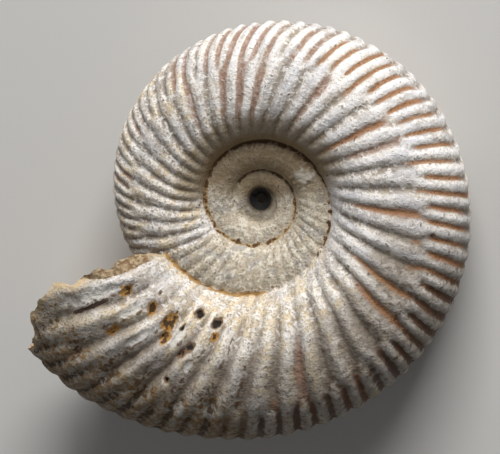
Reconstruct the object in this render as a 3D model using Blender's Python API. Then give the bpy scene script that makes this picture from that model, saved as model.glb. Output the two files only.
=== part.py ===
"""Fossil ammonite: an evolute shell with forking ribs, turned to stone as one piece.

Metres, +Z up. The shell lies on its underside, and the origin is the middle of its bounding box on the
surface that it rests on. +X and +Y are the right and the top of the coil as it is usually shown, and the
broken aperture is at the lower left.

The surface is a spiral ribbon with ribs. A place on it has a growth angle, which is 0 at the aperture and
falls towards the centre, and a station across the shell: 1 at the seam with the whorl inside, 0 where the
next whorl covers it, and -1 at the middle of the venter, which is the outer rim.
"""

import math

import bmesh
import bpy
import numpy as np
from mathutils import Matrix, Vector

MM = 0.001
TURN = 2.0 * math.pi

NAME = "ammonite"
COLOUR = (0.58, 0.50, 0.40, 1.0)
ROUGHNESS = 0.78

# Coil: sizes at growth angle 0, and the factor by which each grows in one turn
VENTER_RADIUS = 13.45 * MM
VENTER_GROWTH = 1.93
SEAM_RADIUS = 4.965 * MM
SEAM_HEIGHT = 2.1 * MM
SEAM_GROWTH = 2.022
WIDEST_STATION = 0.75
OUTER_ROUNDNESS = 2.2
INNER_ROUNDNESS = 2.0
APERTURE_DIRECTION = math.radians(-148.0)

# The last stretch flares, and burial has pulled the whole coil a little longer one way
FLARE = 0.05
FLARE_SPAN = math.radians(55.0)
STRETCH = 0.03
STRETCH_DIRECTION = math.radians(-135.0)

# Centre: the innermost whorls flatten into the rim of a round hole that goes right through
HOLE_RADIUS = 0.5 * MM
HOLE_HALF_HEIGHT = 0.28 * MM
HOLE_STEP = 0.06 * MM
HOLE_BLEND_START = -2.95 * TURN
HOLE_BLEND_END = -1.95 * TURN

# Ribs: strong ones on the inner flank, and finer ones past the fork and across the venter
RIB_SPACING = math.radians(8.6)
RIB_OFFSET = math.radians(2.4)
RIB_COARSENING = 1.32
COARSENING_SPAN = math.radians(45.0)
FINE_RIB_SPACING = math.radians(4.888)
FINE_RIB_OFFSET = math.radians(178.4)
UPRIGHT_STATION = 0.45
LATE_LEAN = math.radians(3.5)
LATE_SPAN = math.radians(55.0)
LATE_STATION = 0.5
LATE_STATION_SPAN = 0.6
FORK_START = -0.12
FORK_END = -0.36
RIB_DEPTH = 0.36 * MM
FINE_RIB_DEPTH = 0.21 * MM
SHOULDER_START = 0.94
SMOOTH_SHOULDER = 0.38
RIBLESS_TURNS = 1.95

# Aperture: the growth angle that the broken edge reaches, by how much the break runs back below, and
# the stone that fills the shell behind it
EDGE_AT_WIDEST = math.radians(11.0)
EDGE_AT_VENTER = math.radians(-0.5)
EDGE_VENTER_SPAN = 0.6
EDGE_SEAM_SPAN = 0.25
EDGE_BELOW = math.radians(-13.0)
EDGE_BELOW_SPAN = 0.8
EDGE_JAG = math.radians(0.8)
EDGE_JAG_WAVES = (21.0, 37.0)
FILLING_HOLLOW = 1.9 * MM
FILLING_LUMPS = 0.18 * MM
FILLING_LUMP_WAVES = (5.0, 9.0)
FILLING_RINGS = 3

# Mesh: rows on the crests and in the grooves of the fine ribs, and fewer stations on the small whorls
ROW_STEP = FINE_RIB_SPACING / 2.0
FIRST_ROW = 76 * ROW_STEP - FINE_RIB_OFFSET
ROWS_PER_TURN = 150
ROW_COUNT = 565
RUN_IN_ROWS = 12
FLANK_STATIONS = (
    (1.0, 0.84, 0.62, 0.32, 0.0),
    (1.0, 0.75, 0.4, 0.0),
    (1.0, 0.6, 0.0),
)
VENTER_STATIONS = (-0.2, -0.42, -0.7, -1.0)

# Rest: the coil leans until its underside lies on the ground, where the lowest crests are worn flat
REST_LEAN = math.radians(4.3)
REST_LEAN_DIRECTION = math.radians(27.6)
WEAR = 0.2 * MM
SNAP_TO_GROUND = 0.01 * MM

# Edges between faces that meet at more than this angle look sharp
SHARP_ANGLE = math.radians(50.0)


def smooth_step(x):
    """Rises smoothly from 0 to 1 as x goes from 0 to 1."""
    x = np.clip(x, 0.0, 1.0)
    return x * x * (3.0 - 2.0 * x)


def venter_radius(growth):
    """Radius of the outer rim."""
    flare = 1.0 + FLARE * smooth_step(1.0 + growth / FLARE_SPAN)
    return VENTER_RADIUS * VENTER_GROWTH ** (growth / TURN) * flare


def seam(growth):
    """Radius and half height of the seam between a whorl and the whorl inside it."""
    scale = SEAM_GROWTH ** (growth / TURN)
    grown = smooth_step((growth - HOLE_BLEND_START) / (HOLE_BLEND_END - HOLE_BLEND_START))
    hole_radius = HOLE_RADIUS + HOLE_STEP * (growth - HOLE_BLEND_START) / TURN
    radius = hole_radius + (SEAM_RADIUS * scale - hole_radius) * grown
    height = HOLE_HALF_HEIGHT + (SEAM_HEIGHT * scale - HOLE_HALF_HEIGHT) * grown
    return radius, height


def section(growth, station):
    """Radius and half height of the section before the ribs, and its outward direction as (r, z).

    The section is two quarters of a superellipse that meet where the whorl is widest. The outer one
    ends at the venter and the inner one is cut off at the seam.
    """
    seam_radius, seam_height = seam(growth)
    cover_radius, cover_height = seam(growth + TURN)
    venter = venter_radius(growth)
    widest = seam_radius + WIDEST_STATION * (cover_radius - seam_radius)
    outer_reach = venter - widest
    cover_share = (cover_radius - widest) / outer_reach
    half_width = cover_height / (1.0 - cover_share**OUTER_ROUNDNESS) ** (1.0 / OUTER_ROUNDNESS)
    seam_share = np.minimum(seam_height / half_width, 0.999)
    inner_reach = (widest - seam_radius) / (1.0 - seam_share**INNER_ROUNDNESS) ** (1.0 / INNER_ROUNDNESS)

    cover_angle = np.arccos(cover_share ** (OUTER_ROUNDNESS / 2.0))
    seam_angle = math.pi - np.arcsin(seam_share ** (INNER_ROUNDNESS / 2.0))
    flank = np.maximum(station, 0.0) * (seam_angle - cover_angle)
    angle = cover_angle * (1.0 + np.minimum(station, 0.0)) + flank
    cosine = np.cos(angle)
    sine = np.sin(angle)
    is_outer = cosine > 0.0
    power = 2.0 / np.where(is_outer, OUTER_ROUNDNESS, INNER_ROUNDNESS)
    reach = np.where(is_outer, outer_reach, -inner_reach)
    radius = widest + reach * np.abs(cosine) ** power
    height = half_width * sine**power
    out_r = cosine / np.abs(reach)
    out_z = sine / half_width
    length = np.hypot(out_r, out_z)
    return radius, height, out_r / length, out_z / length


def rib_lean(station):
    """Growth angle by which a rib has moved forward at a station, from where it crosses mid flank."""
    return (ROWS_PER_TURN * ROW_STEP - TURN) * (UPRIGHT_STATION - station)


def rib_relief(growth, station):
    """Height of the ribs above or below the plain section."""
    upright = growth - rib_lean(station)
    late = smooth_step((growth + TURN) / LATE_SPAN) * (0.5 + 0.5 * np.cos(growth))
    strong_place = upright - LATE_LEAN * late * smooth_step((LATE_STATION - station) / LATE_STATION_SPAN)
    coarsening = RIB_COARSENING * (1.0 - np.exp(strong_place / COARSENING_SPAN))
    strong = -np.cos(TURN * ((strong_place + RIB_OFFSET) / RIB_SPACING + coarsening))
    fine = -np.cos(TURN * (upright + FINE_RIB_OFFSET) / FINE_RIB_SPACING)
    forked = smooth_step((FORK_START - station) / (FORK_START - FORK_END))
    shoulder = smooth_step((SHOULDER_START - station) / SMOOTH_SHOULDER)
    size = SEAM_GROWTH ** (growth / TURN) * smooth_step(growth / TURN + RIBLESS_TURNS)
    strong_part = RIB_DEPTH * strong * (1.0 - forked) * shoulder
    fine_part = FINE_RIB_DEPTH * fine * forked
    return 0.5 * size * (strong_part + fine_part)


def broken_edge(station, side):
    """Growth angle of the broken edge on the upper (1) or lower (-1) side. It ends on the first row's
    place at the seam."""
    at_seam = FIRST_ROW + rib_lean(1.0)
    outer_share = smooth_step((station + EDGE_VENTER_SPAN) / EDGE_VENTER_SPAN)
    seam_share = smooth_step((station - 1.0) / EDGE_SEAM_SPAN + 1.0)
    reach = EDGE_AT_VENTER + (EDGE_AT_WIDEST - EDGE_AT_VENTER) * outer_share
    if side < 0:
        reach = reach + EDGE_BELOW * smooth_step((station + 1.0) / EDGE_BELOW_SPAN)
    reach = reach + (at_seam - reach) * seam_share
    long_wave, short_wave = EDGE_JAG_WAVES
    jag = np.sin(long_wave * station + 1.0) + 0.7 * np.sin(short_wave * station)
    return reach + EDGE_JAG * jag * smooth_step(4.0 * (1.0 - station))


def row_growth(row, station, side):
    """Growth angle of a row at a station: rows lean with the ribs, and row 0 is the broken edge."""
    if row >= RUN_IN_ROWS:
        return FIRST_ROW - row * ROW_STEP + rib_lean(station)
    last_leaning = row_growth(RUN_IN_ROWS, station, side)
    share = row / RUN_IN_ROWS
    return last_leaning * share + broken_edge(station, side) * (1.0 - share)


def shell_point(row, station, side):
    """Place on the upper (1) or lower (-1) side, in the coil's own frame."""
    growth = row_growth(row, station, side)
    radius, height, out_r, out_z = section(growth, station)
    relief = rib_relief(growth, station)
    radius = radius + relief * out_r
    height = height + relief * out_z
    turn = APERTURE_DIRECTION - growth
    x = radius * math.cos(turn)
    y = radius * math.sin(turn)
    pull_x = math.cos(STRETCH_DIRECTION)
    pull_y = math.sin(STRETCH_DIRECTION)
    pull = STRETCH * (x * pull_x + y * pull_y)
    return Vector((x + pull * pull_x, y + pull * pull_y, side * height if station > -1.0 else 0.0))


def row_stations(row):
    """Stations of a row, from the inner seam outwards. The last whorl's rows go on to the venter."""
    if row <= ROWS_PER_TURN:
        return FLANK_STATIONS[0] + VENTER_STATIONS
    whorl = min(row // ROWS_PER_TURN, len(FLANK_STATIONS) - 1)
    return FLANK_STATIONS[whorl]


class Shell:
    """Collects the vertices and faces of the upper and lower side in one mesh."""

    def __init__(self):
        self.mesh = bmesh.new()
        self.lower = {}

    def add(self, place, below):
        """Adds a vertex and its partner below, which is the same vertex on the middle plane."""
        vertex = self.mesh.verts.new(place)
        self.lower[vertex] = vertex if place.z == 0.0 else self.mesh.verts.new(below)
        return vertex

    def add_shell_point(self, row, station):
        """Adds the vertices of a row and station on both sides."""
        return self.add(shell_point(row, station, 1), shell_point(row, station, -1))

    def face(self, corners):
        """Adds a face on the upper side and its partner below, unless its corners coincide."""
        corners = list(dict.fromkeys(corners))
        if len(corners) < 3:
            return
        self.mesh.faces.new(corners)
        self.mesh.faces.new([self.lower[corner] for corner in reversed(corners)])

    def bridge(self, first, second):
        """Fills the strip between two lines of vertices that may differ in number."""
        i = j = 0
        while i < len(first) - 1 or j < len(second) - 1:
            first_next = (i + 1) / (len(first) - 1)
            second_next = (j + 1) / (len(second) - 1)
            if abs(first_next - second_next) < 1e-6:
                self.face((first[i], first[i + 1], second[j + 1], second[j]))
                i, j = i + 1, j + 1
            elif first_next < second_next:
                self.face((first[i], first[i + 1], second[j]))
                i += 1
            else:
                self.face((first[i], second[j + 1], second[j]))
                j += 1


def build_rows(shell):
    """Vertices of every row. A row starts on the vertex where the row one turn further in is covered."""
    rows = []
    for row in range(ROW_COUNT):
        covered = row + ROWS_PER_TURN
        inner_end = (covered, 0.0) if covered < ROW_COUNT else (row, 1.0)
        line = [shell.add_shell_point(*inner_end)]
        for station in row_stations(row)[1:]:
            if station == 0.0 and row >= ROWS_PER_TURN:
                line.append(rows[row - ROWS_PER_TURN][0])
            else:
                line.append(shell.add_shell_point(row, station))
        rows.append(line)
    return rows


def build_flanks(shell, rows):
    """Faces of the exposed flanks and the venter."""
    for row in range(ROW_COUNT - 1):
        line, inner_line = rows[row], rows[row + 1]
        if row == ROWS_PER_TURN:
            line = line[: len(FLANK_STATIONS[0])]
        shell.bridge(line, inner_line)


def build_hole(shell, rows):
    """Wall of the central hole, from the innermost seam on the upper side to the one below."""
    rim = [line[0] for line in rows[ROW_COUNT - 1 - ROWS_PER_TURN :]]
    rim += rows[-1][1:]
    for start, end in zip(rim, rim[1:]):
        shell.mesh.faces.new((start, end, shell.lower[end], shell.lower[start]))


def line_point(line, share):
    """Point at a share of the way along a line of vertices."""
    at = share * (len(line) - 1)
    first = min(int(at), len(line) - 2)
    return line[first].co.lerp(line[first + 1].co, at - first)


def filling_point(venter, edge, ring, along):
    """Place on a ring of the filling, at a share of the way along the venter and the broken edge."""
    inward = Matrix.Rotation(APERTURE_DIRECTION, 3, "Z") @ Vector((0.0, 1.0, 0.0))
    out = ring / (FILLING_RINGS + 1)
    arch = math.sin(math.pi * out)
    hollow = FILLING_HOLLOW * arch * smooth_step(along * 2.0)
    outward_wave, edge_wave = FILLING_LUMP_WAVES
    lump = FILLING_LUMPS * arch * math.sin(outward_wave * ring + edge_wave * along)
    place = line_point(venter, along).lerp(line_point(edge, along), out) + inward * (hollow + lump)
    if along == 1.0:
        place.z = 0.0
    return place


def build_filling(shell, rows):
    """Rough hollow face of stone between the broken edge and the venter of the whorl inside."""
    edge = rows[0]
    venter = rows[ROWS_PER_TURN][len(FLANK_STATIONS[0]) - 1 :]
    edge_below = [shell.lower[vertex] for vertex in edge]
    venter_below = [shell.lower[vertex] for vertex in venter]
    steps = len(edge) - 1
    lines = [venter]
    for ring in range(1, FILLING_RINGS + 1):
        line = [edge[0]]
        for step in range(1, steps + 1):
            along = step / steps
            above = filling_point(venter, edge, ring, along)
            below = filling_point(venter_below, edge_below, ring, along)
            line.append(shell.add(above, below))
        lines.append(line)
    lines.append(edge)
    for inner, outer in zip(lines, lines[1:]):
        shell.bridge(inner, outer)


def lay_down(mesh):
    """Turns the coil so that its underside lies on the ground, and wears the lowest crests flat."""
    axis = Vector((-math.sin(REST_LEAN_DIRECTION), math.cos(REST_LEAN_DIRECTION), 0.0))
    bmesh.ops.rotate(mesh, verts=mesh.verts, matrix=Matrix.Rotation(REST_LEAN, 3, axis))
    ground = min(vertex.co.z for vertex in mesh.verts) + WEAR
    geometry = list(mesh.verts) + list(mesh.edges) + list(mesh.faces)
    down = (0.0, 0.0, -1.0)
    worn = bmesh.ops.bisect_plane(
        mesh,
        geom=geometry,
        dist=SNAP_TO_GROUND,
        plane_co=(0.0, 0.0, ground),
        plane_no=down,
        clear_outer=True,
    )
    for vertex in mesh.verts:
        vertex.co.z = max(vertex.co.z, ground)
    outlines = [item for item in worn["geom_cut"] if isinstance(item, bmesh.types.BMEdge)]
    bmesh.ops.holes_fill(mesh, edges=outlines)
    xs = [vertex.co.x for vertex in mesh.verts]
    ys = [vertex.co.y for vertex in mesh.verts]
    middle = Vector(((min(xs) + max(xs)) / 2.0, (min(ys) + max(ys)) / 2.0, ground))
    bmesh.ops.translate(mesh, verts=mesh.verts, vec=-middle)


def fossil_material():
    """Cream calcite with a dull, weathered surface."""
    material = bpy.data.materials.new("fossil calcite")
    material.use_nodes = True
    shader = material.node_tree.nodes["Principled BSDF"]
    shader.inputs["Base Color"].default_value = COLOUR
    shader.inputs["Roughness"].default_value = ROUGHNESS
    shader.inputs["Metallic"].default_value = 0.0
    return material


def build_ammonite():
    """The whole shell as one closed mesh."""
    shell = Shell()
    rows = build_rows(shell)
    build_flanks(shell, rows)
    build_hole(shell, rows)
    build_filling(shell, rows)
    lay_down(shell.mesh)
    bmesh.ops.recalc_face_normals(shell.mesh, faces=shell.mesh.faces)
    mesh = bpy.data.meshes.new(NAME)
    shell.mesh.to_mesh(mesh)
    shell.mesh.free()
    mesh.materials.append(fossil_material())
    mesh.shade_smooth()
    mesh.set_sharp_from_angle(angle=SHARP_ANGLE)
    return bpy.data.objects.new(NAME, mesh)


def main():
    for old in list(bpy.data.objects):
        bpy.data.objects.remove(old)
    collection = bpy.data.collections.new("Fossil ammonite")
    bpy.context.scene.collection.children.link(collection)
    collection.objects.link(build_ammonite())


main()
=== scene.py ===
"""Fossil ammonite lying on a pale floor: the surface of its shell, with the floor, lights and camera.

The shell is the CAD's spiral ribbon again, much finer. A place on it has a growth angle, which is 0 at the
aperture and falls towards the centre, and a station across the shell: 1 at the seam with the whorl inside,
0 where the next whorl covers it, and -1 at the middle of the venter, which is the outer rim.
"""

import math
from types import SimpleNamespace

import bpy
import numpy as np
from bpy.props import FloatProperty, FloatVectorProperty, PointerProperty
from bpy.types import Operator, Panel, PropertyGroup
from mathutils import Matrix, Vector


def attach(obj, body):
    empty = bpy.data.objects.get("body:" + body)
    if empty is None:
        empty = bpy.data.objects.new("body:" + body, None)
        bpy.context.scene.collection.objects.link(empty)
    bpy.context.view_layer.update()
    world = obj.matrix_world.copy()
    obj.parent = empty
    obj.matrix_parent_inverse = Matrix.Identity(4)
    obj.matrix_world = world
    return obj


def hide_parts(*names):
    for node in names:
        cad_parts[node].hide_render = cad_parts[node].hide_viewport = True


bl_info = {
    "name": "Fossil Ammonite",
    "version": (1, 0, 0),
    "blender": (4, 5, 0),
    "location": "3D View > Sidebar > Ammonite",
    "description": "Adds a ribbed fossil ammonite shell, its floor, lights and camera",
    "category": "Add Mesh",
}

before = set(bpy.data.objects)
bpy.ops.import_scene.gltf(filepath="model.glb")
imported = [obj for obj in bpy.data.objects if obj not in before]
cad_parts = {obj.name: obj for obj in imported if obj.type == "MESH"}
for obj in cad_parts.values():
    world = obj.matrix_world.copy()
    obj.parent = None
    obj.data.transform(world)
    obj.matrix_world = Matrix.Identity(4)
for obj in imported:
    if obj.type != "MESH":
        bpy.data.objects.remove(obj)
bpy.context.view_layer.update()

MM = 0.001
TURN = 2.0 * math.pi
NODE = "ammonite"
PIECE = "ammonite_shell"

# Coil, as in the CAD: sizes at growth angle 0, and the factor by which each grows in one turn
VENTER_RADIUS = 13.45 * MM
VENTER_GROWTH = 1.93
SEAM_RADIUS = 4.965 * MM
SEAM_HEIGHT = 2.1 * MM
SEAM_GROWTH = 2.022
WIDEST_STATION = 0.75
OUTER_ROUNDNESS = 2.2
INNER_ROUNDNESS = 2.0
LARGEST_SEAM_SHARE = 0.999
FLANK_CURVE = 1.5
APERTURE_DIRECTION = math.radians(-148.0)
FLARE = 0.05
FLARE_SPAN = math.radians(55.0)
STRETCH = 0.03
STRETCH_DIRECTION = math.radians(-135.0)

# Centre: the innermost whorls flatten into the rim of a round hole
HOLE_RADIUS = 0.5 * MM
HOLE_HALF_HEIGHT = 0.28 * MM
HOLE_STEP = 0.06 * MM
HOLE_BLEND_START = -2.95 * TURN
HOLE_BLEND_END = -1.95 * TURN

# Ribs
RIB_SPACING = math.radians(8.6)
RIB_OFFSET = math.radians(2.4)
RIB_COARSENING = 1.32
COARSENING_SPAN = math.radians(45.0)
FINE_RIB_SPACING = math.radians(4.888)
FINE_RIB_OFFSET = math.radians(178.4)
LEAN_SPAN = math.radians(6.6)
UPRIGHT_STATION = 0.45
LATE_LEAN = math.radians(3.5)
LATE_SPAN = math.radians(55.0)
LATE_STATION = 0.5
LATE_STATION_SPAN = 0.6
FORK_START = -0.12
FORK_END = -0.36
SMOOTH_SHOULDER = 0.38
SHOULDER_START = 0.94
RIBLESS_TURNS = 1.95
CREST_BREADTH = 0.62
MEAN_CREST = 0.62
RIB_WANDER = math.radians(0.45)
SKEW = 0.55
SKEW_START = math.radians(-70.0)
SKEW_SPAN = math.radians(40.0)
# Band along the older side of each strong rib, where shadow is painted: its start, end and soft width, in
# the rib's turn from groove to groove
OLDER_SIDE_SHADOW = (0.12, 0.32, 0.14)
LARGEST_SCALE = 1.3

# Where the ribs get lower towards the centre, in degrees of growth, and by what share of their height
OLD_RIBS = (-100.0, -160.0)
OLD_RIB_LOSS = 0.24
OLDEST_RIBS = (-470.0, -530.0)
OLDEST_RIB_LOSS = 0.5
INNER_RIB_LOSS = 0.15
SHOULDER_LOSS = 0.28
LATE_RIB_GAIN = 0.35

# Aperture
FIRST_GROWTH = math.radians(7.34)
EDGE_AT_WIDEST = math.radians(11.0)
EDGE_AT_VENTER = math.radians(-0.5)
EDGE_VENTER_SPAN = 0.6
EDGE_SEAM_SPAN = 0.25
LOWER_SEAM_SPAN = 0.7
EDGE_JAG = math.radians(0.8)
EDGE_BELOW = math.radians(-13.0)
EDGE_BELOW_SPAN = 0.8
EDGE_JAG_WAVES = (21.0, 37.0, 83.0)
FILLING_HOLLOW = 1.9 * MM
FILLING_BULGE = 0.6

# Rest: the coil's lean, and where its own centre then lies
REST_LEAN = math.radians(4.3)
REST_LEAN_DIRECTION = math.radians(27.6)
COIL_CENTRE = (0.81997 * MM, 1.75212 * MM, 3.6251 * MM)

# Mesh: rows along the spiral, and steps across each whorl, last whorl first, on the upper and lower side
ROWS_PER_TURN = 660
ROW_STEP = (TURN + LEAN_SPAN) / ROWS_PER_TURN
ROW_COUNT = 2482
RUN_IN_ROWS = 53
FLANK_STEPS = {1: (38, 16, 7, 4), -1: (15, 8, 5, 4)}
VENTER_STEPS = {1: 34, -1: 13}
FILLING_RINGS = 24
SEAM_CROWDING = 0.06
HOLE_STEPS = 4
HOLE_WAIST = 0.5
WELD_STEP = 1e-8
SHARP_ANGLE = math.radians(70.0)

# Seams, and the crust of clay at the broken edge, which reaches this many degrees from it
SEAM_DEPTH = 0.10 * MM
SEAM_BREADTH = 0.16 * MM
SEAM_LINE_BREADTH = 0.125 * MM
CRUST_HEIGHT = 0.07 * MM
CRUST_REACH = 4.0
CRUST_END = -20.0

# Random values: how many the noise and the grooves draw on, and the primes that pick one for each cell
NOISE_VALUES = 4096
GROOVE_COUNT = 1024
CELL_PRIMES = (73856093, 19349663, 83492791)

# Unevenness, as layers of noise: strength, cell size in millimetres and seed
COARSE_WANDER = ((1.0, 2.2, 1),)
FINE_WANDER = ((1.0, 0.42, 7),)
VIGOUR = ((0.25, 1.3, 2), (0.18, 0.5, 3))
LUMPS = ((0.7, 0.9, 4), (0.35, 0.34, 5), (0.22, 0.2, 6))
SEAM_CRUMBS = ((0.8, 0.3, 8),)
CRUST_LUMPS = ((1.0, 0.28, 9),)
FILLING_LUMPS = ((0.20, 0.9, 11), (0.12, 0.35, 12), (0.06, 0.17, 13))
PIT_RAGGEDNESS = ((0.45, 0.15, 31), (0.3, 0.4, 32))

# Streaks: the radius and the breadth of the flank at which they are measured, and their layers, each a
# strength, the breadth and length of its cells in millimetres, and a seed
RIB_REACH = 9.0 * MM
FLANK_REACH = 5.0 * MM
STREAK_LAYERS = ((0.6, 0.34, 1.6, 21), (0.4, 0.17, 0.6, 22))

# Where stains, painted shade and changes of the ribs lie: the growth angles in degrees at which each begins
# and ends, how wide those soft ends are, and the stations between which it rises, where it fades across the
# flank
SPREADS = {
    "late_ribs": (-48.0, 30.0, 30.0),
    "soft_shoulder": (-200.0, -85.0, 50.0, 0.10, 0.50),
    "iron_lines": (-210.0, -100.0, 30.0),
    "top_rust": (-253.0, -233.0, 6.0),
    "faint_rust": (-345.0, -62.0, 12.0),
    "cool": (-262.0, -110.0, 60.0),
    "cream": (-85.0, 0.0, 30.0, 0.30, 0.70),
    "soot": (-128.0, -26.0, 24.0, 0.05, -0.40),
    "dirt": (-60.0, 12.0, 22.0, 0.22, -0.18),
    # Dust with painted shade: the outer flank darkens towards the bottom, where it turns away from the
    # light
    "dust": (-150.0, 8.0, 60.0, 0.78, -0.02),
    # Painted shadow on the older side of the strong ribs near the aperture, which faces away from the light
    "lip": (-62.0, 14.0, 14.0),
    "grime": (-372.0, -265.0, 50.0),
    # Brown stain and painted shade on the inner flank of the upper half, which faces away from the light
    "stained": (-330.0, -165.0, 50.0, 0.15, 0.65),
}

# What differs from groove to groove: seed, lowest value and range
GROOVE_VALUES = {
    "line_begin": (41, -0.08, -0.22),
    "line_finish": (42, -1.1, 0.30),
    "line_strength": (43, 0.62, 0.45),
    "inner_line_end": (44, 0.25, 0.45),
    "soot_strength": (46, 0.66, 0.34),
}
# Stains that only some grooves have: seed and the share of grooves
GROOVE_SHARES = {"inner_line": (45, 0.5), "extra_line": (47, 0.4), "faint_rust": (48, 0.3)}

# Stains and painted shade: strengths, the stations that they cover with their soft ends, and the depths in
# a groove, from 0 to 1, at which they begin and are full
EXTRA_LINE_STRENGTH = 0.70
EXTRA_LINE_END = -215.0
INNER_LINE_STRENGTH = 0.60
FAINT_STRENGTH = 0.66
LINE_SOFTNESS = 0.36
INNER_LINE_START = -0.35
INNER_LINE_SOFTNESS = 0.4
RUST_STATIONS = (-0.95, 0.45, 0.5)
RIB_SHADOW_STATIONS = (-0.45, 0.62, 0.3)
UMBER_SHADE_STATIONS = (0.55, 0.95)
FRINGE_STATIONS = (0.30, 0.05)
FRINGE_STREAKS = (0.42, 0.67)
FRINGE_START = (-700.0, -620.0)
IRON_IN_GROOVE = (0.40, 0.85)
RUST_IN_GROOVE = (0.10, 0.65)
SOOT_IN_GROOVE = (0.20, 0.65)
SOIL_RANGE = (0.50, 0.85)
# Upper side: the share of the way up from the centre at which it begins and is full. The walls round the
# centre face away from the light there, and shade is painted on them
HIGH_SIDE = (-0.35, 0.75)
YOUNG_ROWS = 3.0
# Painted shade into the hole: the radii at which it begins and is full
HOLE_SHADE_RANGE = (0.85 * MM, 0.50 * MM)
COLLAR_RANGE = (1.0 * MM, 0.84 * MM)
COLLAR_SHIFT = 0.22 * MM

# Clay in the seams: strength, and the growth angles in degrees at which it begins and ends, with how wide
# those soft ends are. The angle is that of the whorl outside the seam.
# Dark clay with painted shade: the line is strongest at the top, where the whorl outside overhangs the seam
# and shades it
DARK_CLAY_AND_SHADE = (
    (1.0, -305.0, -172.0, 14.0),
    (0.68, -440.0, -305.0, 14.0),
    (0.62, -172.0, -105.0, 14.0),
    (0.58, -530.0, -440.0, 14.0),
    (0.75, -650.0, -530.0, 20.0),
)
OCHRE_CLAY = (
    (1.0, -64.0, 30.0, 10.0),
    (0.35, -108.0, -64.0, 10.0),
    (0.75, -172.0, -108.0, 14.0),
    (0.62, -300.0, -172.0, 14.0),
    (0.85, -520.0, -300.0, 20.0),
    (0.3, -650.0, -520.0, 20.0),
)

# Damage: growth angle in degrees, station, radius and depth in millimetres, and how many
# times longer along the rib than across
DARK_PITS = (
    (-31.6, 0.70, 0.26, 0.30, 1.0),
    (-42.2, 0.65, 0.20, 0.25, 1.4),
    (-34.8, 0.37, 0.17, 0.22, 1.8),
    (-32.6, 0.27, 0.17, 0.22, 1.2),
    (-32.1, 0.03, 0.12, 0.20, 1.0),
    (-28.6, 0.51, 0.07, 0.12, 3.0),
    (-10.6, 0.66, 0.10, 0.12, 1.0),
    (11.0, 0.22, 0.12, 0.20, 1.0),
)
OCHRE_PITS = (
    (-0.7, 0.47, 0.26, 0.18, 1.2),
    (-12.8, 0.52, 0.26, 0.18, 1.2),
    (-22.5, 0.50, 0.30, 0.20, 1.8),
    (-24.5, 0.36, 0.22, 0.15, 1.5),
    (-9.3, 0.14, 0.22, 0.08, 1.5),
    (-43.2, 0.51, 0.20, 0.05, 1.5),
)
PALE_TROUGHS = (
    (4.2, 0.17, 0.42, 0.24, 4.2),
    (-8.0, 0.36, 0.20, 0.04, 3.0),
    (-17.5, 0.24, 0.22, 0.06, 3.0),
    (-29.0, 0.42, 0.20, 0.05, 3.0),
    (-37.0, 0.16, 0.20, 0.05, 2.0),
)
SERRATED_EDGES = ((1.0, 0.15, 0.12, 0.08, 11.0),)
CALCITE_LUMPS = ((-537.5, 0.29, 0.40, 0.10, 2.0),)
PIT_EDGE = 1.35
PIT_SLOPE = 0.9
PIT_LENGTHWAYS = 0.05
PALE_SMOOTHNESS = 0.7
LUMP_PALENESS = 0.56

# Troughs get shallow over this many rows beside the broken edge, where the wall over the filling is thin
THIN_WALL_ROWS = 22

# View: how far the coil is tilted to the camera and towards what direction, the real size of a pixel of
# the picture, and where its middle lies from the coil's centre, in pixels
VIEW_TILT = math.radians(17.5)
VIEW_DIRECTION = math.radians(-135.0)
PIXEL = 0.05 * MM
VIEW_OFFSET = (-11.9, -28.9)
SENSOR_WIDTH = 36.0
LENS = 230.4
CLIP_START = 0.01

# Stage, in metres
FLOOR_HALF = 1.5
LIGHT_DISTANCE = 0.3
KEY_DIRECTION = (0.22, 0.95, 0.50)
KEY_SIZE = 0.17
FILL_DIRECTION = (-0.5, -0.6, 0.9)
FILL_SIZE = 0.25
WORLD_COLOUR = "#e8eaee"
WORLD_STRENGTH = 0.09


def smooth_step(x):
    """Rises smoothly from 0 to 1 as x goes from 0 to 1."""
    x = np.clip(x, 0.0, 1.0)
    return x * x * (3.0 - 2.0 * x)


def ramp(x, start, end):
    """Rises smoothly from 0 at start to 1 at end. The end may be the lower one."""
    return smooth_step((x - start) / (end - start))


def window(x, start, end, soft):
    """1 between start and end, and 0 outside, with a smooth step this wide at both."""
    return smooth_step((x - start) / soft + 0.5) * smooth_step((end - x) / soft + 0.5)


def lattice_noise(points, size, seed):
    """Random values from -1 to 1 on a lattice of cells this size, blended by smooth steps between them."""
    values = np.random.default_rng(seed).uniform(-1.0, 1.0, NOISE_VALUES)
    scaled = points / size + 1000.0
    cell = np.floor(scaled).astype(np.int64)
    share = smooth_step(scaled - cell)
    total = np.zeros(points.shape[:-1])
    for corner in np.ndindex(2, 2, 2):
        at = cell + np.array(corner)
        picked = np.bitwise_xor.reduce(at * np.array(CELL_PRIMES), axis=-1) % NOISE_VALUES
        total += values[picked] * np.prod(np.where(corner, share, 1.0 - share), axis=-1)
    return total


def rough(points, layers):
    """Sum of lattice noises, one for each layer."""
    return sum(strength * lattice_noise(points, size * MM, seed) for strength, size, seed in layers)


def venter_radius(growth):
    """Radius of the outer rim: it grows by a fixed factor each turn, and flares a little at the end."""
    flare = 1.0 + FLARE * smooth_step(1.0 + growth / FLARE_SPAN)
    return VENTER_RADIUS * VENTER_GROWTH ** (growth / TURN) * flare


def seam(growth):
    """Radius and half height of the seam with the whorl inside, which fade into the rim of the hole."""
    scale = SEAM_GROWTH ** (growth / TURN)
    grown = smooth_step((growth - HOLE_BLEND_START) / (HOLE_BLEND_END - HOLE_BLEND_START))
    hole_radius = HOLE_RADIUS + HOLE_STEP * (growth - HOLE_BLEND_START) / TURN
    radius = hole_radius + (SEAM_RADIUS * scale - hole_radius) * grown
    height = HOLE_HALF_HEIGHT + (SEAM_HEIGHT * scale - HOLE_HALF_HEIGHT) * grown
    return radius, height


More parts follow.
